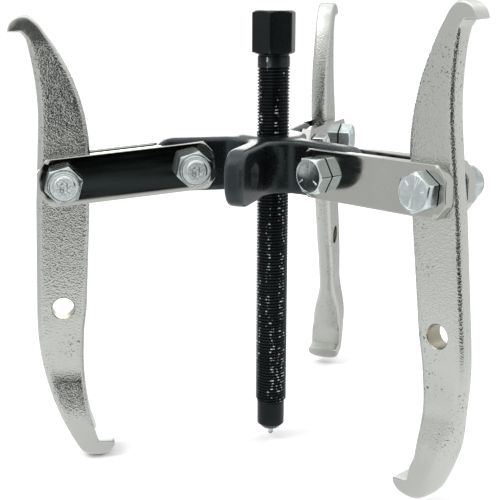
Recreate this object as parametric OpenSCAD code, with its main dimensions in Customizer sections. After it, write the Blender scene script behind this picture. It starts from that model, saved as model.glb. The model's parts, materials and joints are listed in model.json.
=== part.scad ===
// Three-jaw gear puller: a forged yoke with four lugs, a forcing screw and three reversible jaws.
// Millimetres. The origin is the tip of the screw's centre point, and +Z runs up the screw's axis.
// The spare lug points along -Y, the back arm along +Y, and the other two arms 120 degrees either side.

/* [Forcing screw] */
// Outer diameter of the 9/16-18 thread
screw_d = 14.29; // [13:0.01:15]
// Advance of the screw in one turn
screw_pitch = 1.411; // [1.25:0.001:1.6]
// Length of the threaded part below the plain neck
thread_len = 156.2; // [150:0.1:165]
// Length of the plain neck under the hexagon
neck_len = 5.6; // [4:0.1:8]
// Width across the flats of the drive hexagon
hex_af = 17.46; // [17:0.01:19]
// Height of the drive hexagon
hex_h = 18.4; // [15:0.1:20]
// Diameter of the unthreaded end below the thread
dog_d = 11.0; // [10:0.1:12]
// Length of the unthreaded end
dog_len = 12.9; // [10:0.1:15]
// Diameter of the centre point that stands out of the end
point_d = 2.5; // [2:0.1:3.5]
// Length of the centre point below the end
point_out = 4.0; // [3:0.1:5]
// Depth of the centre point inside the end
point_in = 7.0; // [5:0.5:10]

/* [Yoke] */
// Height of the lug pivots above the tip of the centre point
pivot_z = 131.6; // [125:0.1:140]
// Distance of the lug pivots from the screw's axis
lug_pivot_r = 37.5; // [36:0.5:42]
// Distance of the lug tips from the screw's axis
lug_tip_r = 53.9; // [53:0.1:56]
// Height of the lugs
lug_h = 23.6; // [22:0.2:26]
// Thickness of the lugs
lug_t = 8.3; // [8:0.1:8.4]
// Radius of the rounded corners at the lug tips
lug_corner_r = 9.0; // [7:0.5:10]
// Radius of the hub around the screw
hub_r = 15.0; // [13:0.5:16]
// Height of the hub
hub_h = 25.0; // [24:0.5:27]
// Radius of the hollow where a lug runs into the hub
web_r = 10.0; // [8:0.5:11]

/* [Straps] */
// Distance between the two bolts of a strap
strap_len = 55; // [52:0.5:58]
// Width of a strap
strap_w = 20.6; // [19:0.1:21]
// Thickness of a strap
strap_t = 4.8; // [4.5:0.1:5]
// Length of a strap beyond each bolt
strap_end = 10.3; // [10:0.1:11]
// Gap between the two straps of an arm
strap_gap = 8.6; // [8.6:0.1:9]
// Length of the clipped strap corners along the strap
clip_x = 4.2; // [3:0.1:5]
// Length of the clipped strap corners across the strap
clip_y = 5.2; // [4:0.1:6]

/* [Bolts and nuts] */
// Diameter of the 3/8 pivot bolts
bolt_d = 9.525; // [9.5:0.005:9.6]
// Diameter of the bolt holes in straps, lugs and jaws
hole_d = 9.65; // [9.65:0.01:9.7]
// Width across the flats of the bolt heads and nuts
bolt_af = 14.29; // [14:0.01:15]
// Height of the bolt heads
head_h = 6.2; // [5.5:0.1:7]
// Height of the hexagon of a lock nut
nut_hex_h = 8.6; // [8:0.1:9]
// Height of a lock nut with its collar
nut_h = 11.2; // [10.8:0.1:12]
// Outer diameter of the collar
collar_d = 12.9; // [12.6:0.1:13.4]
// Length of the bolt end beyond the nut
bolt_end = 0.7; // [0.3:0.1:2]
// Outer diameter of the nylon ring in a lock nut
nylon_d = 11.4; // [11:0.1:11.8]

/* [Jaws] */
// Half the width of a jaw's shank
jaw_half_w = 11.4; // [11:0.1:12]
// Thickness of a jaw's shank and horn
jaw_t = 8.3; // [8:0.1:8.4]
// Thickness of a jaw's foot
foot_t = 16; // [12:0.2:18]
// Distance from the pivot hole down to the spare hole
spare_hole_y = 57.15; // [55:0.05:60]
// Distance from the pivot down to the seat of the hook
seat_y = 119.2; // [118:0.1:120]

/* [Rest pose] */
// Angle of the left, right and back straps below the horizontal
strap_drop = [5.15, -1.25, 2.1]; // [-10:0.05:10]
// Angle at which the foot of the left, right and back jaw stands out
jaw_splay = [2.4, 6.1, 13.4]; // [0:0.1:20]

/* [Hidden] */

ROUND = 96;         // facets of a round surface
EPS = 0.01;
// Direction of each arm and of the spare lug, counted from +X
LEFT = 0;
RIGHT = 1;
BACK = 2;
ARM_DIR = [210, -30, 90];
SPARE_DIR = -90;
// How far each hexagon is turned on its bolt, for the left, right and back arms
LUG_BOLT_TURN = [10, 30, 20];
JAW_BOLT_TURN = [34, 6, 0];
LUG_NUT_TURN = [42, 8, 5];
JAW_NUT_TURN = [39, 25, 40];

OUTER = strap_gap / 2 + strap_t;        // outer face of a strap
dog_z = point_out;                      // lower end of the screw
thread_z = dog_z + dog_len;             // lower end of the thread
neck_z = thread_z + thread_len;         // lower end of the neck
hex_z = neck_z + neck_len;              // lower face of the drive hexagon
thread_bore_d = screw_d + 0.12;         // bore of the yoke around the thread crests
point_bore_d = point_d + 0.1;           // bore that the centre point turns in
ring_z = nut_hex_h - 0.4;               // floor of a lock nut's ring groove
tuck = 0.15;                            // how far the yoke's hollows run into what they join
web_h = lug_h - 0.8;                    // height of the webs and fillets between the lugs

// Points of an arc about c, from angle a0 to angle a1, in n steps
function arc(c, r, a0, a1, n) =
    [for (i = [0:n]) let (a = a0 + (a1 - a0) * i / n) c + r * [cos(a), sin(a)]];

// Smooth rise from 0 to 1
function smooth(t) = t * t * (3 - 2 * t);

// A hexagonal prism whose flats face +X and -X, from z = 0 up
module hex_prism(af, h) {
    rotate([0, 0, 30]) cylinder(d = af / cos(30), h = h, $fn = 6);
}

// A hexagonal prism with its corners turned down at the top
module turned_hex(af, h, turn_h) {
    corner = af / cos(30) / 2;
    intersection() {
        hex_prism(af, h);
        union() {
            cylinder(r = corner + 1, h = h - turn_h, $fn = ROUND);
            translate([0, 0, h - turn_h - EPS])
                cylinder(r1 = corner + EPS, r2 = af / 2 - 0.2, h = turn_h + EPS, $fn = ROUND);
        }
    }
}

// ---- yoke ----

// Outline of a lug seen from its side, with x along the arm
module lug_side() {
    h = lug_h / 2;
    c = lug_corner_r;
    x = lug_tip_r - c;
    polygon(concat([[0, h]], arc([x, h - c], c, 90, 0, 12), arc([x, c - h], c, 0, -90, 12), [[0, -h]]));
}

// Web between two lugs that stand `gap` degrees apart, hollowed to a radius that runs into both
module narrow_web(dir_a, gap) {
    to_hollow = (lug_t / 2 + web_r - tuck) / sin(gap / 2);
    foot = to_hollow * cos(gap / 2);
    inside = lug_t / 2 - 1;
    rotate([0, 0, dir_a]) difference() {
        polygon([[0, 0], [foot, inside],
            to_hollow * [cos(gap / 2), sin(gap / 2)],
            foot * [cos(gap), sin(gap)] - inside * [-sin(gap), cos(gap)]]);
        translate(to_hollow * [cos(gap / 2), sin(gap / 2)]) circle(r = web_r, $fn = ROUND);
    }
}

// Fillet between the hub and one side (1 or -1) of the lug that points along dir
module hub_fillet(dir, side) {
    across = lug_t / 2 + web_r - tuck;
    to_centre = hub_r + web_r - tuck;
    along = sqrt(to_centre * to_centre - across * across);
    rotate([0, 0, dir]) difference() {
        polygon([[0, 0], [along, 0], [along, side * across],
            [along, side * across] * (hub_r - 1) / to_centre]);
        translate([along, side * across]) circle(r = web_r, $fn = ROUND);
    }
}

module yoke() {
    color([0.05, 0.055, 0.06]) translate([0, 0, pivot_z]) difference() {
        union() {
            for (dir = concat(ARM_DIR, [SPARE_DIR]))
                rotate([0, 0, dir]) rotate([90, 0, 0])
                    linear_extrude(height = lug_t, center = true) lug_side();
            linear_extrude(height = web_h, center = true) {
                narrow_web(ARM_DIR[LEFT], 60);
                narrow_web(SPARE_DIR, 60);
                hub_fillet(ARM_DIR[LEFT], -1);
                hub_fillet(ARM_DIR[RIGHT], 1);
                hub_fillet(ARM_DIR[BACK], -1);
                hub_fillet(ARM_DIR[BACK], 1);
            }
            cylinder(r = hub_r, h = hub_h, center = true, $fn = ROUND);
        }
        cylinder(d = thread_bore_d, h = hub_h + 2, center = true, $fn = ROUND);
        for (dir = concat(ARM_DIR, [SPARE_DIR]))
            rotate([0, 0, dir]) translate([lug_pivot_r, 0, 0]) rotate([90, 0, 0])
                cylinder(d = hole_d, h = lug_t + 2, center = true, $fn = ROUND);
    }
}

// ---- forcing screw ----

module forcing_screw() {
    hex_turn = 7.2;         // direction of one flat's normal
    dog_chamfer = 1.4;
    chamfer = 1.6;
    color([0.06, 0.06, 0.065]) difference() {
        union() {
            translate([0, 0, dog_z])
                cylinder(d1 = dog_d - 2 * dog_chamfer, d2 = dog_d, h = dog_chamfer, $fn = ROUND);
            translate([0, 0, dog_z + dog_chamfer - EPS]) cylinder(d = dog_d, h = dog_len, $fn = ROUND);
            translate([0, 0, thread_z]) cylinder(d1 = dog_d, d2 = screw_d, h = chamfer, $fn = ROUND);
            translate([0, 0, thread_z + chamfer - EPS])
                cylinder(d = screw_d, h = hex_z - thread_z - chamfer + 2 * EPS, $fn = ROUND);
            translate([0, 0, hex_z]) rotate([0, 0, hex_turn]) turned_hex(hex_af, hex_h, 1.5);
        }
        translate([0, 0, dog_z - 1]) cylinder(d = point_bore_d, h = point_in + 1, $fn = ROUND);
    }
}

// Hardened pin that stays still on the shaft while the screw turns round it
module centre_point() {
    nose = point_d / 2;
    color([0.62, 0.64, 0.65]) {
        translate([0, 0, nose]) sphere(d = point_d, $fn = ROUND);
        translate([0, 0, nose]) cylinder(d = point_d, h = point_out + point_in - nose, $fn = ROUND);
    }
}

// ---- arms ----

// Puts its children in an arm's lug pivot, x along the strap and z up
module at_lug(arm) {
    rotate([0, 0, ARM_DIR[arm]]) translate([lug_pivot_r, 0, pivot_z])
        rotate([0, strap_drop[arm], 0]) children();
}

// Puts its children in an arm's jaw pivot, x outwards and z up the jaw
module at_jaw(arm) {
    rotate([0, 0, ARM_DIR[arm]])
        translate([lug_pivot_r + strap_len * cos(strap_drop[arm]), 0,
            pivot_z - strap_len * sin(strap_drop[arm])])
            rotate([0, -jaw_splay[arm], 0]) children();
}

// Flat strap with clipped corners on one side (1 or -1) of its arm
module strap(arm, side) {
    x0 = -strap_end;
    x1 = strap_len + strap_end;
    y = strap_w / 2;
    color([0.72, 0.73, 0.74]) at_lug(arm) translate([0, side * (OUTER - strap_t / 2), 0])
        rotate([90, 0, 0]) difference() {
            linear_extrude(height = strap_t, center = true)
                polygon([[x0, y - clip_y], [x0 + clip_x, y], [x1 - clip_x, y], [x1, y - clip_y],
                    [x1, clip_y - y], [x1 - clip_x, -y], [x0 + clip_x, -y], [x0, clip_y - y]]);
            for (x = [0, strap_len])
                translate([x, 0, 0]) cylinder(d = hole_d, h = strap_t + 2, center = true, $fn = ROUND);
        }
}

// Hexagon-headed bolt along +y at distance x from the lug pivot, its head on the arm's -y side
module bolt(arm, x, turn) {
    color([0.78, 0.80, 0.82]) at_lug(arm) translate([x, -OUTER, 0]) rotate([-90, 0, 0]) {
        mirror([0, 0, 1]) rotate([0, 0, turn]) turned_hex(bolt_af, head_h, 0.9);
        translate([0, 0, -EPS]) cylinder(d = bolt_d, h = 2 * OUTER + nut_h + bolt_end + EPS, $fn = ROUND);
    }
}

// Lock nut against the outer face of the strap on the arm's +y side
module lock_nut(arm, x, turn) {
    color([0.74, 0.76, 0.77]) at_lug(arm) translate([x, OUTER, 0]) rotate([-90, 0, 0]) difference() {
        union() {
            rotate([0, 0, turn]) hex_prism(bolt_af, nut_hex_h);
            cylinder(d = collar_d, h = nut_h, $fn = ROUND);
        }
        translate([0, 0, -1]) cylinder(d = hole_d, h = nut_h + 2, $fn = ROUND);
        translate([0, 0, ring_z]) cylinder(d = nylon_d, h = nut_h, $fn = ROUND);
    }
}

// The nylon rings that grip the bolts in both of an arm's nuts
module nylon_rings(arm) {
    ring_h = nut_h - ring_z - 0.3;
    color([0.85, 0.86, 0.84]) for (x = [0, strap_len])
        at_lug(arm) translate([x, OUTER + ring_z, 0]) rotate([-90, 0, 0]) difference() {
            cylinder(d = nylon_d, h = ring_h, $fn = ROUND);
            translate([0, 0, -1]) cylinder(d = hole_d, h = ring_h + 2, $fn = ROUND);
        }
}

// ---- jaws ----

// Side outline of a jaw, with the pivot at the origin, x outwards and y up.
// It runs down the outer edge from the horn's crown, round the foot and up the inner edge.
function jaw_outline() = let (
    w = jaw_half_w,
    horn_r = 84, horn_y = 9, horn_a = 39,
    beak_c = [15.1, 60.7], beak_r = 7.5, beak_y = 60.7,
    throat_r = 125, throat_x = 10.4, throat_y = 24, throat_a = 16,
    heel_r = 117, heel_y = -60.5, heel_a = 32.2,
    toe_r = 10.3,
    toe_c = [w - heel_r + (heel_r - toe_r) * cos(heel_a), heel_y - (heel_r - toe_r) * sin(heel_a)],
    nose_r = 7.2,
    nose_c = [toe_c[0] - 0.5, toe_c[1] - toe_r + nose_r],
    palm_r = 135, palm_y = -78, palm_x = -9.1)
    concat(
        arc(beak_c, beak_r, 98, 4, 9),
        [[22.5, beak_y], [17.2, beak_y], [15.7, 58.8]],
        arc([throat_x + throat_r, throat_y], throat_r, 180 - throat_a, 180, 10),
        [[w, -12]],
        arc([w - heel_r, heel_y], heel_r, 0, -heel_a, 12),
        arc(toe_c, toe_r, -heel_a - 10, -90, 6),
        arc(nose_c, nose_r, -105, -172, 6),
        [[nose_c[0] - nose_r + 0.3, -seat_y]],
        [for (y = [-seat_y, -112, -104, -96, -88, -80]) [palm_edge(y, palm_r, palm_x, palm_y), y]],
        [[-9.3, -68], [-10.4, -57.5], [-11.3, -16]],
        arc([-w + horn_r, horn_y], horn_r, 180, 180 - horn_a, 12),
        [[9.4, 64.8], [11.9, 67]]);

// Inner edge of a jaw above its seat at height y, an arc of radius r whose crest is at (x0, y0)
function palm_edge(y, r, x0, y0) = x0 - r + sqrt(r * r - pow(y - y0, 2));

// Front outline of a jaw: the shank widens into the foot
function jaw_front() = let (
    a = jaw_t / 2, b = foot_t / 2,
    top = 70, flare_top = -84, flare_end = -108, low = -124, base = -130,
    side = concat([[a, top]],
        [for (i = [0:8]) [a + (b - a) * smooth(i / 8), flare_top + (flare_end - flare_top) * i / 8]],
        [[b, low], [b - 2.5, base]]))
    concat(side, [for (i = [len(side) - 1:-1:0]) [-side[i][0], side[i][1]]]);

module jaw(arm) {
    reach = 60;
    color([0.70, 0.71, 0.70]) at_jaw(arm) difference() {
        intersection() {
            rotate([90, 0, 0]) linear_extrude(height = foot_t + 2, center = true) polygon(jaw_outline());
            rotate([90, 0, 90]) linear_extrude(height = reach, center = true) polygon(jaw_front());
        }
        for (z = [0, -spare_hole_y])
            translate([0, 0, z]) rotate([90, 0, 0])
                cylinder(d = hole_d, h = foot_t + 4, center = true, $fn = ROUND);
    }
}

yoke();
forcing_screw();
centre_point();
strap(LEFT, 1);  // left_strap_front
strap(LEFT, -1);  // left_strap_rear
strap(RIGHT, -1);  // right_strap_front
strap(RIGHT, 1);  // right_strap_rear
strap(BACK, -1);  // back_strap_right
strap(BACK, 1);  // back_strap_left
jaw(LEFT);  // left_jaw
jaw(RIGHT);  // right_jaw
jaw(BACK);  // back_jaw
bolt(LEFT, 0, LUG_BOLT_TURN[LEFT]);  // left_lug_bolt
bolt(LEFT, strap_len, JAW_BOLT_TURN[LEFT]);  // left_jaw_bolt
bolt(RIGHT, 0, LUG_BOLT_TURN[RIGHT]);  // right_lug_bolt
bolt(RIGHT, strap_len, JAW_BOLT_TURN[RIGHT]);  // right_jaw_bolt
bolt(BACK, 0, LUG_BOLT_TURN[BACK]);  // back_lug_bolt
bolt(BACK, strap_len, JAW_BOLT_TURN[BACK]);  // back_jaw_bolt
lock_nut(LEFT, 0, LUG_NUT_TURN[LEFT]);  // left_lug_nut
lock_nut(LEFT, strap_len, JAW_NUT_TURN[LEFT]);  // left_jaw_nut
lock_nut(RIGHT, 0, LUG_NUT_TURN[RIGHT]);  // right_lug_nut
lock_nut(RIGHT, strap_len, JAW_NUT_TURN[RIGHT]);  // right_jaw_nut
lock_nut(BACK, 0, LUG_NUT_TURN[BACK]);  // back_lug_nut
lock_nut(BACK, strap_len, JAW_NUT_TURN[BACK]);  // back_jaw_nut
nylon_rings(LEFT);  // left_nylon_rings
nylon_rings(RIGHT);  // right_nylon_rings
nylon_rings(BACK);  // back_nylon_rings
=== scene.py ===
import json
import math

import bmesh
import bpy
import numpy as np
from mathutils import Matrix, Vector
from mathutils.geometry import delaunay_2d_cdt

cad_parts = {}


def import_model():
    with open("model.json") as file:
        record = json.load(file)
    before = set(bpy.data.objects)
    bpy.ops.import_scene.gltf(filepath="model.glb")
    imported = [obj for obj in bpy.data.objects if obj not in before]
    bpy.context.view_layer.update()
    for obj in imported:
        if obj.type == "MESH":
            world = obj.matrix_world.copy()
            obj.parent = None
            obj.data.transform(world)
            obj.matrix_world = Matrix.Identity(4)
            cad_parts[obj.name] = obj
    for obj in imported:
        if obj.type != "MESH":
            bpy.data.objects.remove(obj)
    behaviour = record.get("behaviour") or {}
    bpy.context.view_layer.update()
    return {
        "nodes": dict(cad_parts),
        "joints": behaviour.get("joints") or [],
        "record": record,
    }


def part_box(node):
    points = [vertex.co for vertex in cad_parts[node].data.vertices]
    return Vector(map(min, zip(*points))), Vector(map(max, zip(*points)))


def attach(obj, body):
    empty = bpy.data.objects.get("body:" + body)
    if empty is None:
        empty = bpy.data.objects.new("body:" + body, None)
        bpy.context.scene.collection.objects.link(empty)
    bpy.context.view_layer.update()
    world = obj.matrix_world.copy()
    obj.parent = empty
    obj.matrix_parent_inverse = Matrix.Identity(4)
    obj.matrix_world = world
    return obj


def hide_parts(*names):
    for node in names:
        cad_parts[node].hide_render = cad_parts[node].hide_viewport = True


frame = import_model()

MM = 0.001
ARMS = ("left", "right", "back")
JOINTS = {j["name"]: j for j in frame["joints"]}
MOUNTS = {m["name"]: m for m in frame["record"]["mounts"]}
UP = Vector((0, 0, 1))
SEAT = 0.4                         # height of the washer face under a bolt's head, in millimetres
BOLT_PITCH = 25.4 / 24             # 3/8-24 thread
HOLE_SIDES = 48                    # corners of a round hole through a plate
ROUND_SIDES = 144                  # corners of a round or hexagonal ring


# ---- places, read from the frame ----

def basis(origin, x, y, z):
    """Matrix whose columns are the given axes, at origin."""
    m = Matrix((x, y, z)).transposed().to_4x4()
    m.translation = origin
    return m


def pivot(name):
    return Vector(JOINTS[name]["pos_m"])


def across(arm):
    """Horizontal direction along an arm's bolts, from the heads to the nuts."""
    out = pivot(arm + "_arm_swing")
    out.z = 0
    return UP.cross(out.normalized())


def arm_matrix(arm):
    """Frame of an arm: origin in the lug pivot, x along the strap, y from heads to nuts."""
    lug = pivot(arm + "_arm_swing")
    x = (pivot(arm + "_jaw_swing") - lug).normalized()
    y = across(arm)
    return basis(lug, x, y, x.cross(y))


def jaw_matrix(arm):
    """Frame of a jaw: origin in its pivot, z up the jaw, x outwards."""
    top = pivot(arm + "_jaw_swing")
    z = (top - Vector(MOUNTS[arm + "_jaw_spare_hole"]["pos_m"])).normalized()
    y = across(arm)
    return basis(top, y.cross(z), y, z)


def node_points(node, matrix):
    """A node's corners in a local frame, in millimetres."""
    mesh = frame["nodes"][node].data
    co = np.empty(len(mesh.vertices) * 3)
    mesh.vertices.foreach_get("co", co)
    inv = np.array(matrix.inverted())
    return (co.reshape(-1, 3) @ inv[:3, :3].T + inv[:3, 3]) / MM


def side_loop(node, matrix):
    """Outer outline of a node's section at local y = 0, anticlockwise in (x, z), in millimetres."""
    bm = bmesh.new()
    bm.from_mesh(frame["nodes"][node].data)
    bm.transform(Matrix.Scale(1 / MM, 4) @ matrix.inverted())
    bmesh.ops.remove_doubles(bm, verts=bm.verts, dist=1e-3)
    cut = bmesh.ops.bisect_plane(bm, geom=bm.verts[:] + bm.edges[:] + bm.faces[:], dist=1e-4,
                                 plane_co=(0, 0, 0), plane_no=(0, 1, 0))["geom_cut"]
    edges = {e for e in cut if isinstance(e, bmesh.types.BMEdge)}
    loops = []
    while edges:
        first = min(edges, key=lambda e: e.index)
        edges.discard(first)
        start, here = first.verts
        loop = [start.co.copy()]
        while here != start:
            loop.append(here.co.copy())
            step = next(e for e in here.link_edges if e in edges)
            edges.discard(step)
            here = step.other_vert(here)
        loops.append(np.array([(p.x, p.z) for p in loop]))
    bm.free()
    outer = max(loops, key=lambda p: np.ptp(p[:, 1]))
    return outer if area(outer) > 0 else outer[::-1]


def area(loop):
    """Area of an outline, positive if it runs anticlockwise."""
    x, z = loop.T
    return 0.5 * float(np.sum(x * np.roll(z, -1) - np.roll(x, -1) * z))


def bolt_matrix(arm, end):
    """Frame of a bolt: origin in the middle of the arm, z from its head to its nut."""
    matrix = arm_matrix(arm)
    x, y = matrix.col[0].to_3d(), matrix.col[1].to_3d()
    joint = "_arm_swing" if end == "lug" else "_jaw_swing"
    return basis(pivot(arm + joint), x, y.cross(x), y)


def bolt_underside(points):
    """Local height of the underside of a bolt's head."""
    r = np.hypot(points[:, 0], points[:, 1])
    return float(points[r > r.max() * 0.9, 2].max())


def screw_facts():
    """Radius of the screw's thread and height of the underside of its hexagon, in millimetres."""
    points = node_points("forcing_screw", Matrix())
    r, z = np.hypot(points[:, 0], points[:, 1]), points[:, 2]
    body = r[np.abs(z - z[r > 8].min()) < 0.1].min()
    hex_z = z[r > body * 1.1].min()
    return float(r[(z > hex_z - 0.1) & (r < body * 1.1)].max()), float(hex_z)


# ---- plane geometry ----

def turns(loop):
    """Angle in degrees by which a closed outline turns at each of its points."""
    back, on = loop - np.roll(loop, 1, 0), np.roll(loop, -1, 0) - loop
    return np.degrees(np.arctan2(back[:, 0] * on[:, 1] - back[:, 1] * on[:, 0], (back * on).sum(1)))


def drop_straight(loop, angle=0.4):
    """Leaves out points where the outline turns by less than angle degrees."""
    return loop[np.abs(turns(loop)) > angle]


def resample(loop, step, corner=24):
    """Points about step apart along a closed outline, smoothed between its sharp corners."""
    points, fixed = [], []
    for p, d, t in zip(loop, np.roll(loop, -1, 0) - loop, turns(loop)):
        n = max(1, math.ceil(np.linalg.norm(d) / step))
        points += [p + d * k / n for k in range(n)]
        fixed += [abs(t) > corner] + [False] * (n - 1)
    points, fixed = np.array(points), np.array(fixed)
    for _ in range(14):
        for weight in (0.5, -0.52):
            middle = (np.roll(points, 1, 0) + np.roll(points, -1, 0)) / 2
            points = np.where(fixed[:, None], points, points + weight * (middle - points))
    return points


def inward(loop):
    """Inward unit normals of an anticlockwise outline."""
    t = np.roll(loop, -1, 0) - np.roll(loop, 1, 0)
    n = np.stack([-t[:, 1], t[:, 0]], 1)
    return n / np.linalg.norm(n, axis=1)[:, None]


def distance(p, loop):
    """Distance from each point to a closed outline."""
    a, d = loop, np.roll(loop, -1, 0) - loop
    t = ((p[:, None] - a) * d).sum(2) / (d * d).sum(1)
    near = a + np.clip(t, 0, 1)[..., None] * d
    return np.linalg.norm(p[:, None] - near, axis=2).min(1)


def inside(p, loop):
    """Whether each point is inside a closed outline."""
    x, z = p[:, :1], p[:, 1:]
    ax, az = loop.T
    bx, bz = np.roll(loop, -1, 0).T
    rise = np.where(bz == az, 1, bz - az)
    hit = ((az > z) != (bz > z)) & (x < (bx - ax) * (z - az) / rise + ax)
    return hit.sum(1) % 2 == 1


def ring(radius, centre):
    """Corners of a round hole in the plane of a plate."""
    a = np.arange(HOLE_SIDES) * 2 * math.pi / HOLE_SIDES
    return np.stack([np.cos(a), np.sin(a)], 1) * radius + np.array(centre)


def circle(r, z, n=ROUND_SIDES):
    """n points round the z axis; the radius and the height are numbers, or arrays with one for each."""
    a = np.arange(n) * 2 * math.pi / n
    return np.stack(np.broadcast_arrays(r * np.cos(a), r * np.sin(a), z), 1)


def ease(t):
    t = np.clip(t, 0, 1)
    return t * t * (3 - 2 * t)


# ---- pieces ----

def make(name, verts, faces, matrix, body, nodes, material, sharp=38):
    """A piece from points in millimetres and faces, in a local frame, riding on a body.

    The mesh is in the row frame, and its attribute "local" keeps each point's place in the local frame.
    """
    mesh = bpy.data.meshes.new(name)
    mesh.from_pydata([tuple(v) for v in np.asarray(verts) * MM], [], [list(f) for f in faces])
    bm = bmesh.new()
    bm.from_mesh(mesh)
    bmesh.ops.remove_doubles(bm, verts=bm.verts, dist=1e-8)
    bmesh.ops.dissolve_degenerate(bm, edges=bm.edges, dist=1e-8)
    bmesh.ops.recalc_face_normals(bm, faces=bm.faces)
    bm.to_mesh(mesh)
    bm.free()
    co = np.empty(len(mesh.vertices) * 3, np.float32)
    mesh.vertices.foreach_get("co", co)
    mesh.attributes.new("local", "FLOAT_VECTOR", "POINT").data.foreach_set("vector", co)
    mesh.transform(matrix)
    mesh.shade_smooth()
    mesh.set_sharp_from_angle(angle=math.radians(sharp))
    mesh.materials.append(material)
    obj = bpy.data.objects.new(name, mesh)
    bpy.context.scene.collection.objects.link(obj)
    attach(obj, body)
    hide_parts(*nodes)


class Shell:
    """Points and faces of a mesh that is put together from rings, strips and fans."""

    def __init__(self):
        self.verts, self.faces = [], []

    def add(self, points):
        first = len(self.verts)
        self.verts += [tuple(p) for p in points]
        return list(range(first, len(self.verts)))

    def strip(self, a, b):
        """Faces between two closed rings."""
        for i in range(len(a)):
            j = (i + 1) % len(a)
            self.faces.append((a[i], a[j], b[j], b[i]))

    def cap(self, a, centre):
        """Faces from a closed ring to a point."""
        c = self.add([centre])[0]
        for i in range(len(a)):
            self.faces.append((a[i], a[(i + 1) % len(a)], c))

    def lathe(self, rings, close=True):
        """Rings of equal length joined in order, and closed at both ends."""
        rows = [self.add(r) for r in rings]
        for a, b in zip(rows, rows[1:]):
            self.strip(a, b)
        if close:
            for row, points in ((rows[0], rings[0]), (rows[-1], rings[-1])):
                self.cap(row, np.mean(points, axis=0))
        return rows


def edge_rows(edge, normal, r, phi):
    """Rows of points that run inwards from a plate's edge, where its rounding bends away."""
    rows = []
    for k in (18, 36, 54, 72, 90):
        a = phi + (math.pi / 2 - phi) * k / 90
        depth = r * (np.cos(phi) - np.cos(a))
        p = edge + normal * depth[:, None]
        rows.append(p[inside(p, edge) & (distance(p, edge) > 0.97 * depth)])
    return rows


def grid_points(loop, edge, fillet, grid):
    """A triangular grid of points over the flat middle of a plate."""
    lo, hi = loop.min(0), loop.max(0)
    rows = []
    for j, z in enumerate(np.arange(lo[1], hi[1], grid * 0.866)):
        xs = np.arange(lo[0] + (j % 2) * grid / 2, hi[0], grid)
        rows.append(np.stack([xs, np.full(len(xs), z)], 1))
    points = np.concatenate(rows)
    room = fillet(points) + 0.5 * grid
    return points[inside(points, edge) & (distance(points, edge) > room)]


def triangulate(edge, inner, rims):
    """Triangles over the area between an edge and round rims.

    Returns the points, the triangles, the edge's places among the points and each rim's.
    """
    points = np.concatenate([edge, inner, *(ring(*rim) for rim in rims)])
    first = len(edge) + len(inner)
    loops = [range(len(edge))]
    loops += [range(first + HOLE_SIDES * h, first + HOLE_SIDES * (h + 1)) for h in range(len(rims))]
    borders = [(a, b) for loop in loops for a, b in zip(loop, [*loop[1:], loop[0]])]
    out, _, tris, origin, _, _ = delaunay_2d_cdt([Vector(p) for p in points], borders, [], 0, 1e-6)
    flat = np.array([tuple(v) for v in out])
    tris = np.array([t for t in tris if len(t) == 3])
    middle = flat[tris].mean(1)
    keep = inside(middle, edge)
    for rim_r, centre in rims:
        keep &= np.linalg.norm(middle - centre, axis=1) > rim_r * 0.999
    index = {p: i for i, from_points in enumerate(origin) for p in from_points}
    places = [[index[p] for p in loop] for loop in loops]
    return flat, tris[keep], places[0], places[1:]


def plate(loop, holes, half, fillet, bulge, rim, grid):
    """Shell of a plate with rounded edges, flat along local y.

    loop is its outline in (x, z); holes are (centre, radius); half, fillet and bulge give, for points
    (x, z), half the thickness, the radius of the edges and the angle at which the edge wall ends.
    rim is the width of the chamfer round a hole, and grid the distance between points on the flat.
    """
    shell = Shell()
    normal = inward(loop)
    r, phi = fillet(loop), np.radians(bulge(loop))
    wall_y = half(loop) - r * (1 - np.sin(phi))
    crown = wall_y * np.tan(phi) / 2
    edge = loop + normal * crown[:, None]
    rims = [(radius + rim, centre) for centre, radius in holes]
    inner = np.concatenate([*edge_rows(edge, normal, r, phi), grid_points(loop, edge, fillet, grid)])
    for rim_r, centre in rims:
        inner = inner[np.linalg.norm(inner - centre, axis=1) > rim_r + 0.4]
    flat, tris, edge_at, rims_at = triangulate(edge, inner, rims)
    inset = distance(flat, edge)
    inset[edge_at] = 0
    radius, angle, thick = fillet(flat), np.radians(bulge(flat)), half(flat)
    rest = np.clip(radius * np.cos(angle) - inset, 0, None)
    y = thick - radius + np.sqrt(np.clip(radius * radius - rest * rest, 0, None))
    sides = []
    for s in (-1, 1):
        rows = shell.add(np.stack([flat[:, 0], s * y, flat[:, 1]], 1))
        sides.append(rows)
        shell.faces += [tuple(rows[i] for i in (t if s < 0 else t[::-1])) for t in tris]
    walls = [[sides[0][i] for i in edge_at]]
    for u in (-0.66, -0.33, 0, 0.33, 0.66):
        p = loop + normal * (crown * u * u)[:, None]
        walls.append(shell.add(np.stack([p[:, 0], u * wall_y, p[:, 1]], 1)))
    walls.append([sides[1][i] for i in edge_at])
    for a, b in zip(walls, walls[1:]):
        shell.strip(a, b)
    for (centre, radius), rim_at in zip(holes, rims_at):
        level = float(half(np.array([centre]))[0]) - rim
        ends = [[side[i] for i in rim_at] for side in sides]
        bore = [shell.add([(x, s * level, z) for x, z in ring(radius, centre)]) for s in (-1, 1)]
        for a, b in ((ends[0], bore[0]), (bore[0], bore[1]), (bore[1], ends[1])):
            shell.strip(a, b)
    return shell


def hexagon(af, soften, turn):
    """Radii round a hexagon with slightly rounded corners; a flat's normal points along turn."""
    a = np.arange(ROUND_SIDES) * 2 * math.pi / ROUND_SIDES
    off = (a - turn + math.pi / 6) % (math.pi / 3) - math.pi / 6
    r = af / 2 / np.cos(off)
    return np.minimum(r, af / 2 / math.cos(math.pi / 6) - soften)


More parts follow.
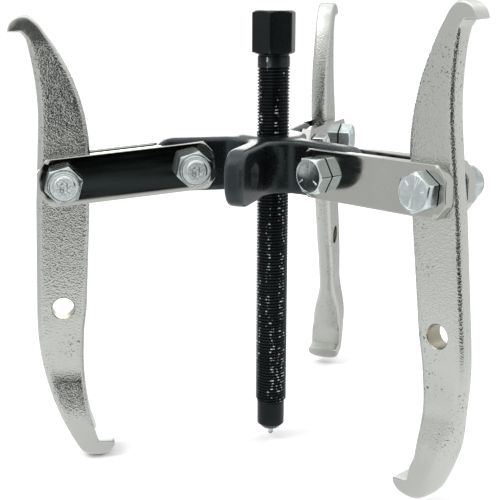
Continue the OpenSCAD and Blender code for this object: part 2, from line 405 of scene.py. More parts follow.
def hex_rings(af, h, cone, slope, turn, bottom=0.0, seat=0.0):
    """Rings of a hexagonal head from z = 0 to h, with its corners turned down at the top.

    Outside the radius cone the corners fall away at slope degrees. If bottom, the height of the first
    ring, is above 0, the lower corners are turned up too. seat is the height of a washer face below.
    """
    r = hexagon(af, 0.12, turn)
    fall = np.clip(r - cone, 0, None) * math.tan(math.radians(slope))
    top = h - fall
    low = bottom + fall * (bottom > 0) + seat
    core = np.minimum(r, cone)
    foot = [circle(core - 0.45, 0), circle(core - 0.45, seat)] if seat else [circle(core, bottom)]
    return [*foot, circle(r, low), circle(r, low + 0.3 * (top - low)), circle(r, top - 0.15),
            circle(r - 0.12, top), circle(core, h)]


# ---- materials ----

def new_material(name, base, metallic, roughness, local=True):
    """A Principled material, with its node tree, shader and the places that its textures are laid out by."""
    mat = bpy.data.materials.new(name)
    mat.use_nodes = True
    tree = mat.node_tree
    shader = tree.nodes["Principled BSDF"]
    shader.inputs["Base Color"].default_value = (*base, 1)
    shader.inputs["Metallic"].default_value = metallic
    shader.inputs["Roughness"].default_value = roughness
    if local:
        node = tree.nodes.new("ShaderNodeAttribute")
        node.attribute_name = "local"
        return mat, tree, shader, node.outputs["Vector"]
    return mat, tree, shader, tree.nodes.new("ShaderNodeTexCoord").outputs["Object"]


def noise(tree, where, scale, detail=3.0, rough=0.5, stretch=None):
    if stretch:
        mapping = tree.nodes.new("ShaderNodeMapping")
        mapping.inputs["Scale"].default_value = stretch
        tree.links.new(where, mapping.inputs["Vector"])
        where = mapping.outputs["Vector"]
    node = tree.nodes.new("ShaderNodeTexNoise")
    node.inputs["Scale"].default_value = scale
    node.inputs["Detail"].default_value = detail
    node.inputs["Roughness"].default_value = rough
    tree.links.new(where, node.inputs["Vector"])
    return node.outputs["Fac"]


def cells(tree, where, scale, smooth=0.0):
    """Distance to the middle of the nearest cell, with the borders between cells smoothed or left sharp."""
    node = tree.nodes.new("ShaderNodeTexVoronoi")
    node.feature = "SMOOTH_F1" if smooth else "F1"
    node.inputs["Scale"].default_value = scale
    if smooth:
        node.inputs["Smoothness"].default_value = smooth
    tree.links.new(where, node.inputs["Vector"])
    return node.outputs["Distance"]


def spread(tree, value, lo, hi, to_lo=0.0, to_hi=1.0):
    """value mapped from lo..hi to to_lo..to_hi, with a smooth step."""
    node = tree.nodes.new("ShaderNodeMapRange")
    node.interpolation_type = "SMOOTHSTEP"
    for key, number in (("From Min", lo), ("From Max", hi), ("To Min", to_lo), ("To Max", to_hi)):
        node.inputs[key].default_value = number
    tree.links.new(value, node.inputs["Value"])
    return node.outputs["Result"]


def math_node(tree, kind, a, b):
    node = tree.nodes.new("ShaderNodeMath")
    node.operation = kind
    for socket, value in zip(node.inputs, (a, b)):
        if isinstance(value, (int, float)):
            socket.default_value = value
        else:
            tree.links.new(value, socket)
    return node.outputs["Value"]


def hypotenuse(tree, a, b):
    """Square root of a squared plus b squared."""
    return math_node(tree, "SQRT", math_node(tree, "ADD", math_node(tree, "POWER", a, 2.0),
                                             math_node(tree, "POWER", b, 2.0)), 0.0)


def axes(tree, where):
    """The x, y and z of a place."""
    node = tree.nodes.new("ShaderNodeSeparateXYZ")
    tree.links.new(where, node.inputs["Vector"])
    return tuple(node.outputs)


def mix_colour(tree, factor, a, b):
    node = tree.nodes.new("ShaderNodeMix")
    node.data_type = "RGBA"
    tree.links.new(factor, node.inputs["Factor"])
    for socket, value in ((node.inputs[6], a), (node.inputs[7], b)):
        if isinstance(value, tuple):
            socket.default_value = (*value, 1)
        else:
            tree.links.new(value, socket)
    return node.outputs[2]


def bump(tree, shader, height, distance_mm, strength=1.0, under=None):
    node = tree.nodes.new("ShaderNodeBump")
    node.inputs["Strength"].default_value = strength
    node.inputs["Distance"].default_value = distance_mm * MM
    tree.links.new(height, node.inputs["Height"])
    if under:
        tree.links.new(under, node.inputs["Normal"])
    tree.links.new(node.outputs["Normal"], shader.inputs["Normal"])
    return node.outputs["Normal"]


def pointiness(tree):
    return tree.nodes.new("ShaderNodeNewGeometry").outputs["Pointiness"]


# Stretches of a jaw over which its finish changes, as heights from its pivot in metres
HOOK_GROUND = (-0.112, -0.107)
BEAK_GROUND = (0.0545, 0.060)
SHANK_CALM = (-0.075, -0.04)
ROUGH_AGAIN = (-0.094, -0.088)


def jaw_material():
    """Satin plating over a pebbly forging, with grime in the pits and smooth ground hooks."""
    mat, tree, shader, where = new_material("jaw_plate", (0.58, 0.59, 0.57), 1.0, 0.28)
    x, _, height = axes(tree, where)
    ground = math_node(tree, "MAXIMUM", spread(tree, height, *HOOK_GROUND, 1, 0),
                       spread(tree, height, *BEAK_GROUND))
    pebbly = math_node(tree, "SUBTRACT", 1.0, ground)
    pebbles = cells(tree, where, 1500, 0.5)
    coarse = noise(tree, where, 1100, 2.0, 0.55)
    relief = math_node(tree, "ADD", pebbles, math_node(tree, "MULTIPLY", coarse, 1.1))
    depth = math_node(tree, "MAXIMUM", spread(tree, height, *SHANK_CALM, 0.45, 1),
                      spread(tree, height, *ROUGH_AGAIN, 1, 0))
    relief = math_node(tree, "MULTIPLY", math_node(tree, "MULTIPLY", relief, pebbly), depth)
    fine = noise(tree, where, 2600, 2.0)
    patches = noise(tree, where, 55, 3.0)
    pits = spread(tree, coarse, 0.30, 0.40, 1, 0)
    worn = spread(tree, patches, 0.42, 0.62)
    grime = math_node(tree, "MULTIPLY", math_node(tree, "MULTIPLY", pits, worn), pebbly)
    tone = mix_colour(tree, noise(tree, where, 30, 4.0), (0.50, 0.515, 0.485), (0.56, 0.575, 0.545))
    colour = mix_colour(tree, grime, tone, (0.09, 0.10, 0.10))
    off_hole = hypotenuse(tree, x, math_node(tree, "ADD", height, SPARE_DROP))
    in_hole = spread(tree, off_hole, SPARE_R + 0.15 * MM, SPARE_R + 0.45 * MM, 1, 0)
    colour = mix_colour(tree, in_hole, colour, (0.33, 0.31, 0.25))
    tree.links.new(colour, shader.inputs["Base Color"])
    rough = math_node(tree, "ADD", spread(tree, patches, 0.3, 0.7, 0.20, 0.27),
                      math_node(tree, "MULTIPLY", grime, 0.3))
    tree.links.new(rough, shader.inputs["Roughness"])
    low = bump(tree, shader, fine, 0.03, 0.5)
    bump(tree, shader, relief, 0.17, 0.65, low)
    return mat


def strap_material():
    """Bright plating on rolled flat bar: faint waves and rolling lines along the bar."""
    mat, tree, shader, where = new_material("strap_plate", (0.55, 0.555, 0.53), 1.0, 0.1)
    waves = noise(tree, where, 60, 2.0)
    lines = noise(tree, where, 400, 3.0, 0.6, (0.08, 1, 1))
    specks = noise(tree, where, 1500, 2.0)
    tone = mix_colour(tree, noise(tree, where, 45, 3.0), (0.43, 0.44, 0.41), (0.48, 0.49, 0.46))
    marks = spread(tree, specks, 0.26, 0.31, 1, 0)
    tree.links.new(mix_colour(tree, marks, tone, (0.3, 0.31, 0.31)), shader.inputs["Base Color"])
    tree.links.new(spread(tree, lines, 0.3, 0.7, 0.06, 0.11), shader.inputs["Roughness"])
    low = bump(tree, shader, waves, 0.05, 0.35)
    bump(tree, shader, lines, 0.01, 0.25, low)
    return mat


def black_material(name, base, rough, gloss, grain, wear, wear_lo, wear_hi, thread=None):
    """Black oxide on steel: fine grain, smudges, and a greyer skin where edges are rubbed.

    thread is the radius and the upper end of a thread whose crests carry painted glints in short dashes.
    """
    mat, tree, shader, where = new_material(name, base, 0.0, rough)
    shader.inputs["Specular IOR Level"].default_value = gloss
    shader.inputs["Specular Tint"].default_value = (0.8, 1.0, 1.04, 1)
    smudge = noise(tree, where, 70, 4.0)
    fine = noise(tree, where, grain, 3.0, 0.6)
    rubbed = math_node(tree, "MULTIPLY", spread(tree, pointiness(tree), wear_lo, wear_hi),
                       spread(tree, smudge, 0.35, 0.6))
    grey = tuple(c + 0.004 for c in base)
    tone = mix_colour(tree, smudge, base, grey)
    tone = mix_colour(tree, rubbed, tone, wear)
    # Painted highlight: short light dashes on the thread's crests stand in for glints of a lamp.
    if thread:
        crest, top = thread
        x, y, height = axes(tree, where)
        on_crest = spread(tree, hypotenuse(tree, x, y), (crest - 0.16) * MM, (crest - 0.08) * MM)
        below_top = spread(tree, height, top * MM, (top + 1) * MM, 1, 0)
        on_crest = math_node(tree, "MULTIPLY", on_crest, below_top)
        columns = spread(tree, noise(tree, where, 300, 1.0, 0.5, (1, 1, 0.06)), 0.54, 0.60)
        dashes = spread(tree, noise(tree, where, 700, 2.0), 0.55, 0.60)
        bright = math_node(tree, "MULTIPLY", on_crest, math_node(tree, "MULTIPLY", columns, dashes))
        tone = mix_colour(tree, bright, tone, (0.4, 0.45, 0.44))
    tree.links.new(tone, shader.inputs["Base Color"])
    tree.links.new(spread(tree, fine, 0.3, 0.7, rough - 0.08, rough + 0.1), shader.inputs["Roughness"])
    bump(tree, shader, fine, 0.06, 0.35)
    return mat


def zinc_material(name, base, rough, mottle, local=True, sawn=None, seat=None):
    """Zinc plating: bluish tone, cloudy blotches, small pits; painted shade in inner corners, painted
    highlights on edges.

    sawn is the local height in millimetres above which the metal is a rough end, and the end's radius.
    seat is the local height of the washer face under the head, painted dark there as shade, and half its
    thickness.
    """
    mat, tree, shader, where = new_material(name, base, 1.0, rough, local)
    cloud = noise(tree, where, 180, 4.0, 0.6)
    pits = cells(tree, where, 1400)
    dull = tuple(c * mottle for c in base)
    tone = mix_colour(tree, spread(tree, cloud, 0.35, 0.65), dull, base)
    roughness = spread(tree, cloud, 0.3, 0.7, rough + 0.08, rough)
    low = bump(tree, shader, cloud, 0.05, 0.35)
    low = bump(tree, shader, pits, 0.02, 0.3, low)
    x, y, height = axes(tree, where)
    if sawn:
        level, end_r = sawn
        end = spread(tree, height, (level - 0.1) * MM, level * MM)
        rim = spread(tree, hypotenuse(tree, x, y), end_r * 0.62 * MM, end_r * 0.72 * MM)
        lumps = noise(tree, where, 1100, 2.0)
        core = mix_colour(tree, spread(tree, lumps, 0.4, 0.6), (0.3, 0.34, 0.34), (0.86, 0.9, 0.9))
        tone = mix_colour(tree, end, tone, mix_colour(tree, rim, core, (0.06, 0.07, 0.07)))
        roughness = math_node(tree, "ADD", roughness, math_node(tree, "MULTIPLY", end, 0.25))
        bump(tree, shader, math_node(tree, "MULTIPLY", lumps, end), 0.35, 0.8, low)
    bend = pointiness(tree)
    # Painted shade: inner corners and creases are darkened where shade falls.
    tone = mix_colour(tree, spread(tree, bend, 0.38, 0.45, 1, 0), tone, (0.03, 0.035, 0.035))
    # Painted highlight: sharp outer edges are lightened to stand in for light caught on them.
    tone = mix_colour(tree, spread(tree, bend, 0.53, 0.58), tone, (0.82, 0.86, 0.86))
    # Painted shade: the washer face in the gap under the head is darkened where the head shades it.
    if seat:
        middle, half = seat
        off = math_node(tree, "ABSOLUTE", math_node(tree, "SUBTRACT", height, middle * MM), 0.0)
        seat_shade = spread(tree, off, half * MM, (half + 0.08) * MM, 1, 0)
        tone = mix_colour(tree, seat_shade, tone, (0.012, 0.014, 0.014))
    tree.links.new(tone, shader.inputs["Base Color"])
    tree.links.new(roughness, shader.inputs["Roughness"])
    return mat


def nylon_material():
    mat, tree, shader, where = new_material("nylon", (0.5, 0.53, 0.53), 0.0, 0.4, False)
    cloud = noise(tree, where, 500, 3.0)
    tree.links.new(mix_colour(tree, cloud, (0.36, 0.39, 0.40), (0.62, 0.65, 0.65)),
                   shader.inputs["Base Color"])
    tree.links.new(spread(tree, cloud, 0.3, 0.7, 0.35, 0.5), shader.inputs["Roughness"])
    bump(tree, shader, noise(tree, where, 1500, 2.0), 0.03, 0.4)
    return mat


BOLT_POINTS = node_points("left_lug_bolt", bolt_matrix("left", "lug"))
BOLT_END = float(BOLT_POINTS[:, 2].max())
# Middle of the washer face under a bolt's head, where the zinc material paints a dark band as shade.
BOLT_SEAT_SHADE = bolt_underside(BOLT_POINTS) - SEAT / 2
BOLT_R = MOUNTS["spare_lug_hole"]["dims"]["r_mm"]
SCREW_R, SCREW_TOP = screw_facts()
SPARE_R = MOUNTS["left_jaw_spare_hole"]["dims"]["r_mm"] * MM
SPARE_DROP = (pivot("left_jaw_swing") - Vector(MOUNTS["left_jaw_spare_hole"]["pos_m"])).length
BLACK = (0.0015, 0.0018, 0.002)
JAW = jaw_material()
STRAP = strap_material()
YOKE = black_material("yoke_black", BLACK, 0.24, 0.5, 1500, (0.05, 0.055, 0.055), 0.50, 0.56)
SCREW = black_material("screw_black", BLACK, 0.22, 0.2, 2200, (0.05, 0.055, 0.06), 0.54, 0.66,
                       (SCREW_R, SCREW_TOP))
BOLT = zinc_material("bolt_zinc", (0.62, 0.69, 0.69), 0.13, 0.8, True, (BOLT_END - 0.4, BOLT_R),
                     (BOLT_SEAT_SHADE, SEAT / 2))
NUT = zinc_material("nut_zinc", (0.46, 0.51, 0.51), 0.15, 0.72)
POINT = zinc_material("point_steel", (0.22, 0.23, 0.24), 0.3, 0.7, False)
NYLON = nylon_material()


# ---- jaws ----

def jaw(arm):
    """Forged jaw: rounded edges on the shank and horn, crisp milled faces round the hook's seat."""
    matrix = jaw_matrix(arm)
    node = arm + "_jaw"
    points = node_points(node, matrix)
    levels = np.unique(np.round(points[:, 2], 2))
    thick = np.array([np.abs(points[np.abs(points[:, 2] - z) < 0.01, 1]).max() for z in levels])
    seat = matrix.inverted() @ Vector(MOUNTS[arm + "_hook_seat"]["pos_m"]) / MM
    hole = matrix.inverted() @ Vector(MOUNTS[arm + "_jaw_spare_hole"]["pos_m"]) / MM
    hole_r = MOUNTS[arm + "_jaw_spare_hole"]["dims"]["r_mm"]
    loop = resample(drop_straight(side_loop(node, matrix)), 1.1)
    root = loop[np.argmin(np.abs(loop[:, 1] - seat.z) + 0.2 * np.abs(loop[:, 0] - seat.x - 4.5))]
    milled = np.array([[root[0] - 14, seat.z], root, [root[0] + 1.5, seat.z + 5]])

    def half(p):
        return np.interp(p[:, 1], levels, thick)

    def milled_gap(p):
        gaps = []
        for a, b in zip(milled, milled[1:]):
            t = np.clip(((p - a) @ (b - a)) / ((b - a) @ (b - a)), 0, 1)
            gaps.append(np.linalg.norm(p - a - t[:, None] * (b - a), axis=1))
        return np.minimum(*gaps)

    def fillet(p):
        hook_end = ease((p[:, 1] - 52) / 8)
        beak = ease(1 - hook_end * (p[:, 0] - 13) / 9)
        return 0.4 + (2.1 - 1.0 * hook_end) * ease((milled_gap(p) - 0.5) / 7) * beak

    def bulge(p):
        return 9 * ease((milled_gap(p) - 1.5) / 5)

    holes = [((0.0, 0.0), hole_r), ((hole.x, hole.z), hole_r)]
    shell = plate(loop, holes, half, fillet, bulge, 0.35, 1.9)
    make(arm + "_jaw_forging", shell.verts, shell.faces, matrix, node, [node], JAW)


# ---- straps ----

def strap(arm, node):
    """Flat bar with clipped ends and lightly broken edges."""
    matrix = arm_matrix(arm)
    y = node_points(node, matrix)[:, 1]
    matrix = matrix @ Matrix.Translation((0, (y.min() + y.max()) / 2 * MM, 0))
    bar = float(np.ptp(y)) / 2
    hole_r = MOUNTS[arm + "_jaw_spare_hole"]["dims"]["r_mm"]
    span = (pivot(arm + "_jaw_swing") - pivot(arm + "_arm_swing")).length / MM

    def same(value):
        return lambda p: np.full(len(p), value)

    loop = resample(drop_straight(side_loop(node, matrix)), 2.0)
    holes = [((0.0, 0.0), hole_r), ((span, 0.0), hole_r)]
    shell = plate(loop, holes, same(bar), same(0.4), same(0.0), 0.25, 3.0)
    make(node + "_bar", shell.verts, shell.faces, matrix, arm + "_arm", [node], STRAP)


# ---- bolts and nuts ----

THREAD_TURNS = 7                   # turns of thread shown at a bolt's end
MARKS = {("left", "lug"): 0.4, ("left", "jaw"): 1.2, ("right", "lug"): -1.57, ("right", "jaw"): -2.3,
         ("back", "lug"): 0.9, ("back", "jaw"): 0.2}      # direction of each head's first grade dash


def hex_facts(points):
    """Width across flats and direction of a flat's normal, from the corners of a hexagon."""
    r = np.hypot(points[:, 0], points[:, 1])
    corner = points[np.argmax(r)]
    return 2 * r.max() * math.cos(math.pi / 6), math.atan2(corner[1], corner[0]) + math.pi / 6


def grade_mark(shell, angle, r0, r1, z, height, width=0.75):
    """A raised radial dash with sloping sides on a bolt's head, which faces -z."""
    d = np.array([math.cos(angle), math.sin(angle)])
    n = np.array([-d[1], d[0]])
    rows = []
    for inset, level in ((0, z + 0.05), (0.14, z - height * 0.8), (0.26, z - height)):
        w = width / 2 - inset
        near, far = r0 + inset, r1 - inset
        corners = [d * u + n * v for u, v in ((near, -w), (far, -w), (far, w), (near, w))]
        rows.append(shell.add([(p[0], p[1], level) for p in corners]))
    for a, b in zip(rows, rows[1:]):
        shell.strip(a, b)
    shell.faces += [tuple(rows[-1]), tuple(rows[0][::-1])]


def bolt(arm, end, marks):
    """Bolt with a sunk face in its head, three grade dashes from the angle marks on, and thread turns."""
    node = f"{arm}_{end}_bolt"
    matrix = bolt_matrix(arm, end)
    points = node_points(node, matrix)
    af, turn = hex_facts(points)
    head_top, tip = points[:, 2].min(), points[:, 2].max()
    shank_r = float(np.hypot(*points[points[:, 2] > tip - 0.1, :2].T).max())
    under = bolt_underside(points)
    h = under - head_top
    cone = af / 2 - 0.25
    rings = hex_rings(af, h, cone, 28, turn, seat=SEAT)
    rings += [circle(cone - 0.45, h), circle(cone - 0.62, h - 0.13), circle(3.0, h - 0.13)]
    shell = Shell()
    shell.lathe([np.column_stack([r[:, :2], under - r[:, 2]]) for r in rings])
    for k in range(3):
        grade_mark(shell, marks + k * 2 * math.pi / 3, 3.5, cone - 1.0, head_top + 0.13, 0.24)
    thread_z = tip - THREAD_TURNS * BOLT_PITCH
    shank = [(shank_r * 0.9, under - 0.5), (shank_r, under), (shank_r, thread_z)]
    for k in range(THREAD_TURNS):
        for part, depth in ((0.15, 0), (0.45, 0.45), (0.7, 0.45), (1.0, 0)):
            z = thread_z + (k + part) * BOLT_PITCH
            shank.append((min(shank_r - depth, shank_r - 0.7 + (tip - z) * 0.9), z - 0.001))
    shank += [(shank_r * share, tip - dip) for share, dip in ((0.46, 0), (0.44, 0.15), (0.3, 0.2))]
    shell.lathe([circle(r, z, 24) for r, z in shank])
    make(f"{arm}_{end}_hex_bolt", shell.verts, shell.faces, matrix, arm + "_arm", [node],
         BOLT, 30)


def lock_nut(arm, end):
    """Nut with a round collar rolled in over its nylon ring."""
    node = f"{arm}_{end}_nut"
    matrix = bolt_matrix(arm, end)
    points = node_points(node, matrix)
    af, turn = hex_facts(points)
    r = np.hypot(points[:, 0], points[:, 1])
    low, top = points[:, 2].min(), points[:, 2].max()
    hex_top = points[r > af / 2, 2].max()
    collar_r = r[points[:, 2] > top - 0.1].max()
    bore_r = r.min()
    groove_r = r[points[:, 2] > top - 0.1].min()
    cone = af / 2 - 0.3
    h, collar_z = hex_top - low, top - low
    lip = (collar_r - groove_r) / 2
    profile = [(cone, h), (collar_r + 0.15, h), (collar_r, h + 0.25)]
    for a in (math.pi * k / 6 for k in range(7)):
        profile.append((collar_r - lip + lip * math.cos(a), collar_z - lip + lip * math.sin(a)))
    profile += [(groove_r, h - 0.1), (bore_r, h - 0.12), (bore_r, 0.2), (bore_r + 0.2, 0)]
    rings = hex_rings(af, h, cone, 30, turn, bottom=0.001)[:-1] + [circle(*place) for place in profile]
    shell = Shell()
    rows = shell.lathe([r + np.array([0, 0, low]) for r in rings], close=False)
    shell.strip(rows[-1], rows[0])
    make(f"{arm}_{end}_lock_nut", shell.verts, shell.faces, matrix, arm + "_arm", [node],
         NUT, 30)


# ---- forcing screw ----

NECK = 5.6                         # plain length between the thread and the hexagon, in millimetres


def thread(shell, crest, root, pitch, z0, z1, end_r):
    """Right-handed 60 degree thread from z0 to z1, turned down to end_r at its lower end."""
    steps = 48
    profile = ((0.0, root), (0.08, root), (0.38, crest), (0.70, crest))
    count = math.ceil((z1 - z0) / pitch + 2) * steps
    rows = []
    for i in range(count + 1):
        a = 2 * math.pi * i / steps
        row = []
        for part, r in profile:
            z = z0 + (i / steps - 1 + part) * pitch
            r = min(r, max(end_r, end_r + (z - z0)))
            row.append((r * math.cos(a), r * math.sin(a), z))
        rows.append(shell.add(row))
    width = len(profile)
    for i in range(count):
        for k in range(width - 1):
            shell.faces.append((rows[i][k], rows[i + 1][k], rows[i + 1][k + 1], rows[i][k + 1]))
        if i + steps + 1 <= count:
            above, beside = rows[i + steps], rows[i + steps + 1]
            shell.faces.append((rows[i][-1], rows[i + 1][-1], beside[0], above[0]))


def trim(shell, z0, z1):
    """Cuts a shell between two heights and closes the ends."""
    bm = bmesh.new()
    verts = [bm.verts.new(v) for v in shell.verts]
    for f in shell.faces:
        bm.faces.new([verts[i] for i in f])
    for z, up in ((z0, -1), (z1, 1)):
        cut = bmesh.ops.bisect_plane(bm, geom=bm.verts[:] + bm.edges[:] + bm.faces[:], dist=1e-5,
                                     plane_co=(0, 0, z), plane_no=(0, 0, up), clear_outer=True)["geom_cut"]
        bmesh.ops.contextual_create(bm, geom=[e for e in cut if isinstance(e, bmesh.types.BMEdge)])
    out = Shell()
    bm.verts.index_update()
    out.verts = [tuple(v.co) for v in bm.verts]
    out.faces = [tuple(v.index for v in f.verts) for f in bm.faces]
    bm.free()
    return out


def forcing_screw():
    """Screw with its real thread, a plain neck under the hexagon and a plain dog at the lower end."""
    points = node_points("forcing_screw", Matrix())
    r = np.hypot(points[:, 0], points[:, 1])
    z = points[:, 2]
    low, top = z.min(), z.max()
    crest, hex_z = SCREW_R, SCREW_TOP
    dog_top = z[(z < top / 2) & (r < crest * 0.9)].max()
    dog_r = r[np.abs(z - dog_top) < 0.1].max()
    end_r = r[np.abs(z - low) < 0.01]
    bore_r, chamfer = end_r.min(), dog_r - end_r.max()
    pitch = 2 * math.pi / frame["record"]["behaviour"]["couplings"][0]["ratio"] / MM
    neck_z = hex_z - NECK
    body = Shell()
    thread(body, crest, crest - 0.54 * pitch, pitch, dog_top, neck_z + 0.4, dog_r)
    body = trim(body, dog_top, neck_z + 0.3)
    af, turn = hex_facts(points[z > hex_z - 0.01])
    cone = af / 2 - 0.15
    rings = hex_rings(af, top - hex_z, cone - 0.6, 26, turn, bottom=0.001)
    head = [ring + np.array([0, 0, hex_z]) for ring in rings]
    body.lathe([*head, circle(cone - 1.3, top), circle(4, top)])
    neck = [(crest * 0.8, neck_z - 0.3), (crest - 0.15, neck_z), (crest, neck_z + 0.15),
            (crest, hex_z - 1.2), (crest - 0.35, hex_z - 0.9), (crest - 0.35, hex_z - 0.3),
            (crest, hex_z + 0.2), (crest * 0.8, hex_z + 0.6)]
    dog = [(bore_r, low + 5), (bore_r, low + 0.15), (bore_r + 0.2, low), (dog_r - chamfer, low),
           (dog_r, low + chamfer), (dog_r, dog_top - 0.5), (dog_r - 0.25, dog_top - 0.2),
           (dog_r * 0.8, dog_top + 0.5)]
    for profile in (neck, dog):
        body.lathe([circle(radius, level, 72) for radius, level in profile])
    make("forcing_screw_threaded", body.verts, body.faces, Matrix(), "forcing_screw", ["forcing_screw"],
         SCREW, 32)


# ---- yoke ----

BLANK_GAP = 0.02 * MM              # how far a plug in the blank stays below the face it fills
BLANK_LAP = 0.4 * MM               # how far it reaches past the wall of its hole
VOXEL = 0.7 * MM


def evaluated(obj):
    """A new mesh with an object's modifiers applied."""
    graph = bpy.context.evaluated_depsgraph_get()
    return bpy.data.meshes.new_from_object(obj.evaluated_get(graph))


def helper(name, mesh):
    obj = bpy.data.objects.new(name, mesh)
    bpy.context.scene.collection.objects.link(obj)
    return obj


def rod(bm, a, b, radius, n=64):
    """A closed cylinder between two points."""
    axis = (b - a).normalized()
    side = axis.orthogonal().normalized()
    up = axis.cross(side)
    rows = []
    for centre in (a, b):
        rows.append([bm.verts.new(centre + (side * math.cos(t) + up * math.sin(t)) * radius)
                     for t in (2 * math.pi * k / n for k in range(n))])
    for k in range(n):
        j = (k + 1) % n
        bm.faces.new((rows[0][k], rows[0][j], rows[1][j], rows[1][k]))
    bm.faces.new(rows[0][::-1])
    bm.faces.new(rows[1])


def yoke():
    """Forged yoke: the CAD shape with its edges rounded off and its holes cut crisply again."""
    bore = MOUNTS["spare_lug_hole"]
    hole_r, half = bore["dims"]["r_mm"] * MM, bore["dims"]["length_mm"] * MM / 2
    lo, hi = (Vector(v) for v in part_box("yoke"))
    lugs = [(pivot(arm + "_arm_swing"), across(arm)) for arm in ARMS]
    lugs.append((Vector(bore["pos_m"]), Vector(bore["axis"])))
    points = node_points("yoke", Matrix()) * MM
    screw_r = float(np.hypot(points[:, 0], points[:, 1]).min())
    plug, cut = bmesh.new(), bmesh.new()
    plug.from_mesh(frame["nodes"]["yoke"].data)
    for centre, axis in lugs:
        end = axis * (half - BLANK_GAP)
        rod(plug, centre - end, centre + end, hole_r + BLANK_LAP)
        rod(cut, centre - axis * half * 2, centre + axis * half * 2, hole_r)
    top, base = Vector((0, 0, hi.z)), Vector((0, 0, lo.z))
    rod(plug, base + UP * BLANK_GAP, top - UP * BLANK_GAP, screw_r + BLANK_LAP)
    rod(cut, base - UP * 5 * MM, top + UP * 5 * MM, screw_r)
    meshes = []
    for bm, name in ((plug, "yoke_blank"), (cut, "yoke_holes")):
        mesh = bpy.data.meshes.new(name)
        bm.to_mesh(mesh)
        bm.free()
        meshes.append(mesh)
    blank, holes = helper("yoke_blank", meshes[0]), helper("yoke_holes", meshes[1])
    remesh = blank.modifiers.new("remesh", "REMESH")
    remesh.mode = "VOXEL"
    remesh.voxel_size = VOXEL
    smooth = blank.modifiers.new("smooth", "SMOOTH")
    smooth.factor = 0.5
    smooth.iterations = 24
    boolean = blank.modifiers.new("holes", "BOOLEAN")
    boolean.operation = "DIFFERENCE"
    boolean.object = holes
    boolean.solver = "EXACT"
    mesh = evaluated(blank)
    for obj in (blank, holes):
        bpy.data.objects.remove(obj)
    verts = np.array([tuple(v.co) for v in mesh.vertices]) / MM
    faces = [tuple(p.vertices) for p in mesh.polygons]
    make("yoke_forging", verts, faces, Matrix(), "yoke", ["yoke"], YOKE, 40)


for arm in ARMS:
    jaw(arm)
    for node in frame["nodes"]:
        if node.startswith(arm + "_") and "strap" in node:
            strap(arm, node)
for (arm, end), angle in MARKS.items():
    bolt(arm, end, angle)
    lock_nut(arm, end)
forcing_screw()
yoke()
for node, material in [("centre_point", POINT)] + [(arm + "_nylon_rings", NYLON) for arm in ARMS]:
    obj = frame["nodes"][node]
    for item in obj.material_slots:
        item.material = material


# ---- floor, camera and light ----

TENT_R = 0.7                       # radius of the light tent, in metres
SKIRT = [0.02 + 0.02 * k for k in range(34)]      # radii of its rings just above the floor
DARK_TOP = 30                      # elevation at which its dark side has faded out
DARK_TINT = (0.78, 1.0, 1.06)      # colour of the faint glow in it
# Sides of the tent: azimuth of the middle from +X, half the width, and the fade beyond it, in degrees
DARK_SIDE = (-51, 24, 9)
DIM_SIDE = (77, 12, 10)
LEFT_SIDE = (200, 48, 22)
BACK_SIDE = (121, 15, 10)


def sheet_mesh(name, rows):
    """A stage surface from rows of points."""
    mesh = bpy.data.meshes.new(name)
    flat = [p for row in rows for p in row]
    n = len(rows[0])
    faces = [(i * n + k, i * n + k + 1, (i + 1) * n + k + 1, (i + 1) * n + k)
             for i in range(len(rows) - 1) for k in range(n - 1)]
    mesh.from_pydata(flat, [], faces)
    mesh.shade_smooth()
    obj = bpy.data.objects.new(name, mesh)
    bpy.context.scene.collection.objects.link(obj)
    return obj


def floor():
    """Pale floor through the undersides of the feet."""
    z = min(float(node_points(arm + "_jaw", Matrix())[:, 2].min()) for arm in ARMS) * MM
    size = 6.0
    obj = sheet_mesh("floor", [[(-size, -size, z), (size, -size, z)], [(-size, size, z), (size, size, z)]])
    mat, _, shader, _ = new_material("floor_pale", (0.93, 0.93, 0.93), 0.0, 0.7, False)
    shader.inputs["Specular IOR Level"].default_value = 0.0
    obj.data.materials.append(mat)


def sector(az, side):
    """1 within a side of the tent, falling to 0 over its fade."""
    middle, half, fade = side
    off = abs((az - middle + 180) % 360 - 180)
    return float(ease((half + fade - off) / fade))


def falling(value, end, width):
    """1 up to width before end, falling to 0 at end."""
    return float(ease((end - value) / width))


def tent_colour(r, el, az):
    """Glow of the light tent at a radius in metres and an elevation and azimuth in degrees."""
    skirt = el == 0
    run = r - TENT_R if skirt else TENT_R * math.sin(math.radians(el))
    near = falling(r, 0.36, 0.1)
    dark = sector(az, DARK_SIDE) * falling(el, DARK_TOP, 10) * (1 - falling(r, 0.54, 0.14) * skirt)
    level = 0.98 + 0.65 * (1 - falling(el, 75, 35)) + 0.12 * near - 0.2 * falling(r, 0.13, 0.05)
    level -= 0.2 * sector(az, LEFT_SIDE) * falling(el, 55, 20) * (1 - near)
    level += 2.4 * sector(az, BACK_SIDE) * falling(el, 34, 12) * (1 - falling(el, 8, 6))
    level -= 0.35 * sector(az, DIM_SIDE) * falling(el, 34, 10)
    glow = 0.002 + 0.13 * math.exp(-((run + 0.03) / 0.02) ** 2)
    return [level * (1 - dark) + glow * tint * dark for tint in DARK_TINT]


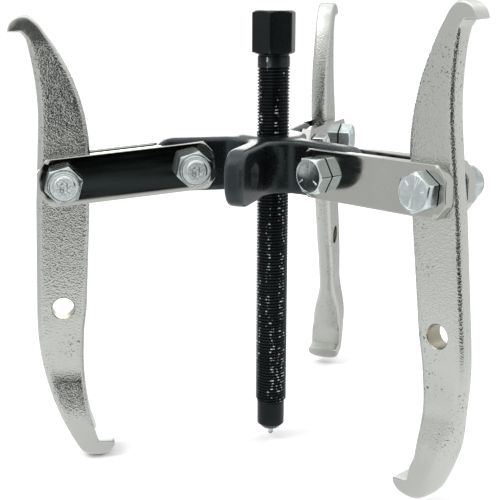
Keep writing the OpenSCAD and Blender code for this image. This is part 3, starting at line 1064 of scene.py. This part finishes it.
def light_tent():
    """Dome that only reflections see: pale all round, bright overhead and behind, dark on one side.

    Below its rim it runs inwards just above the floor, so that low reflections darken there too.
    """
    places = [(r, 0.0) for r in SKIRT]
    for el in [0.5 * k for k in range(1, 30)] + list(range(15, 91, 3)):
        places.append((TENT_R * math.cos(math.radians(el)), el))
    rows, shade = [], []
    for r, el in places:
        z = TENT_R * math.sin(math.radians(el))
        row = []
        for az in range(0, 361, 3):
            a = math.radians(az)
            row.append((r * math.cos(a), r * math.sin(a), z))
            shade += tent_colour(r, el, az) + [1.0]
        rows.append(row)
    obj = sheet_mesh("light_tent", rows)
    obj.data.attributes.new("shade", "FLOAT_COLOR", "POINT").data.foreach_set("color", shade)
    mat = bpy.data.materials.new("tent_glow")
    mat.use_nodes = True
    tree = mat.node_tree
    tree.nodes.clear()
    glow = tree.nodes.new("ShaderNodeEmission")
    colour = tree.nodes.new("ShaderNodeAttribute")
    colour.attribute_name = "shade"
    out = tree.nodes.new("ShaderNodeOutputMaterial")
    tree.links.new(colour.outputs["Color"], glow.inputs["Color"])
    tree.links.new(glow.outputs["Emission"], out.inputs["Surface"])
    obj.data.materials.append(mat)
    obj.visible_camera = False
    obj.visible_diffuse = False
    obj.visible_shadow = False
    obj.visible_transmission = False


def area_light(name, place, target, size, watts):
    data = bpy.data.lights.new(name, "AREA")
    data.shape = "DISK"
    data.size = size
    data.energy = watts
    obj = bpy.data.objects.new(name, data)
    bpy.context.scene.collection.objects.link(obj)
    obj.location = place
    obj.rotation_euler = (Vector(target) - Vector(place)).to_track_quat("-Z", "Y").to_euler()


def camera():
    """Camera at 17 degrees to the left of the spare lug, looking 14.5 degrees down."""
    distance_m, height = 0.43853, 0.20391
    azimuth, pitch, yaw, roll = (math.radians(a) for a in (17.21, 14.50, 1.31, 0.17))
    heading = azimuth + yaw
    data = bpy.data.cameras.new("camera")
    data.lens = 71.39
    data.sensor_width = 36
    obj = bpy.data.objects.new("camera", data)
    bpy.context.scene.collection.objects.link(obj)
    level = Vector((-math.sin(heading), math.cos(heading), 0))
    forward = level * math.cos(pitch) - UP * math.sin(pitch)
    right = Vector((math.cos(heading), math.sin(heading), 0))
    up = right.cross(forward)
    tilted = right * math.cos(roll) + up * math.sin(roll)
    above = up * math.cos(roll) - right * math.sin(roll)
    place = Vector((distance_m * math.sin(azimuth), -distance_m * math.cos(azimuth), height))
    obj.matrix_world = basis(place, tilted, above, -forward)
    bpy.context.scene.camera = obj


def world():
    scene = bpy.context.scene
    scene.world = bpy.data.worlds.new("studio")
    scene.world.use_nodes = True
    background = scene.world.node_tree.nodes["Background"]
    background.inputs["Color"].default_value = (1.0, 1.0, 1.0, 1)
    background.inputs["Strength"].default_value = 1.09
    scene.view_settings.view_transform = "Standard"


floor()
light_tent()
camera()
world()
area_light("key", (-0.7, -0.5, 1.1), (0, 0, 0.1), 0.7, 9)
area_light("fill", (0.5, 0.9, 0.9), (0, 0, 0.1), 0.6, 4)
